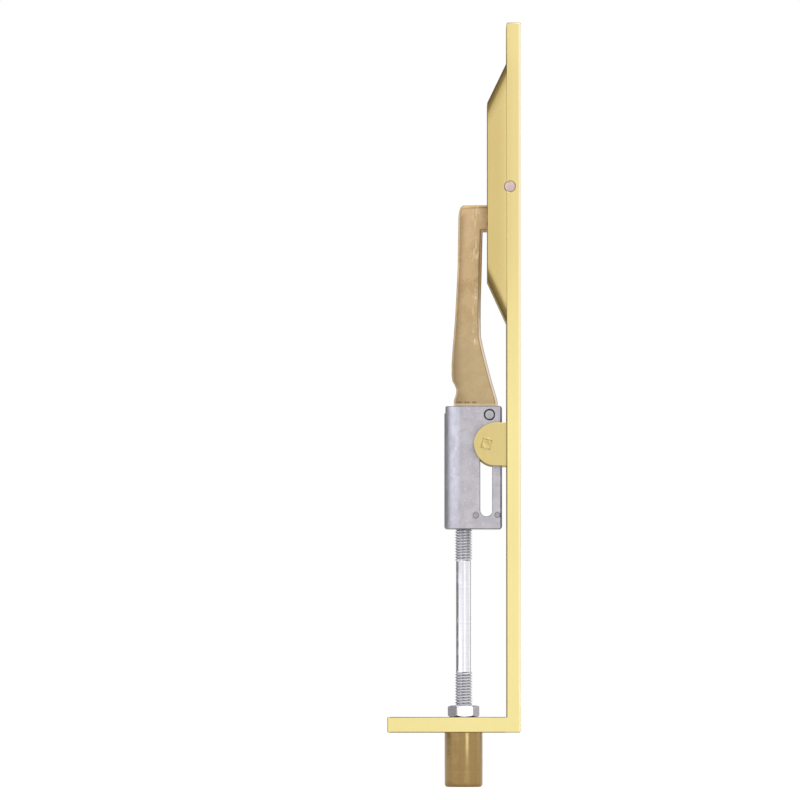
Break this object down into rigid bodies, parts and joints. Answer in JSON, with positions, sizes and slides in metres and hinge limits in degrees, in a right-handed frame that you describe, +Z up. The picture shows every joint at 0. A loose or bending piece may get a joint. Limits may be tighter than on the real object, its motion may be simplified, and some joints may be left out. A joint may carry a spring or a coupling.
{
  "type": "lever action flush bolt",
  "caption": "Brass flush bolt for a door edge: a flip lever in a recessed face drives a round bolt through an arm, slider block and threaded rod.",
  "frame": {"origin": "on the shoot bolt's axis, level with the underside of the foot", "axes": "+Z up the face, away from the bolt's tip; +Y from the face into the door; +X across the face, to the right seen from the front"},
  "size_m": [0.02, 0.0381, 0.2185],
  "materials": {
    "face_brass": "polished and lacquered brass",
    "pocket_brass": "satin brass, duller than the face",
    "lever_brass": "polished brass",
    "ear_brass": "polished brass",
    "washer_brass": "dull brass",
    "pin_brass": "turned brass",
    "cast_brass": "brass, as cast",
    "bolt_brass": "drawn and turned brass",
    "pin_steel": "cut steel, slightly brassy",
    "rivet_steel": "steel, filed flush",
    "plated_steel": "bright zinc-plated steel",
    "die_cast_zinc": "zinc die casting, as cast"
  },
  "bodies": {
    "face": {"face_plate": "face_brass", "lever_pocket": "pocket_brass", "lever_pivot_pin": "pin_steel", "pivot_washer_left": "washer_brass", "pivot_washer_right": "washer_brass", "guide_ear_left": "ear_brass", "guide_ear_right": "ear_brass", "guide_pin": "ear_brass"},
    "lever": {"flip_lever": "lever_brass", "link_pin": "pin_brass"},
    "arm": {"connecting_arm": "cast_brass"},
    "bolt": {"slider_block": "die_cast_zinc", "arm_pin": "rivet_steel", "connecting_rod": "plated_steel", "lock_nut": "plated_steel", "shoot_bolt": "bolt_brass"}
  },
  "joints": [
    {"name": "lever_flip", "type": "hinge", "parent": "face", "child": "lever", "pos_m": [0, -0.0132, 0.156], "axis": [1, 0, 0], "range_deg": [0, 180]},
    {"name": "arm_swing", "type": "hinge", "parent": "lever", "child": "arm", "pos_m": [0, -0.0132, 0.1469], "axis": [1, 0, 0], "range_deg": [-180, 0]},
    {"name": "bolt_throw", "type": "slide", "parent": "face", "child": "bolt", "axis": [0, 0, 1], "range_m": [0, 0.0182]}
  ],
  "couplings": [
    {"joint": "arm_swing", "follows": "lever_flip", "ratio": -1},
    {"joint": "bolt_throw", "follows": "lever_flip", "m_per_rad": 0.0057932}
  ]
}
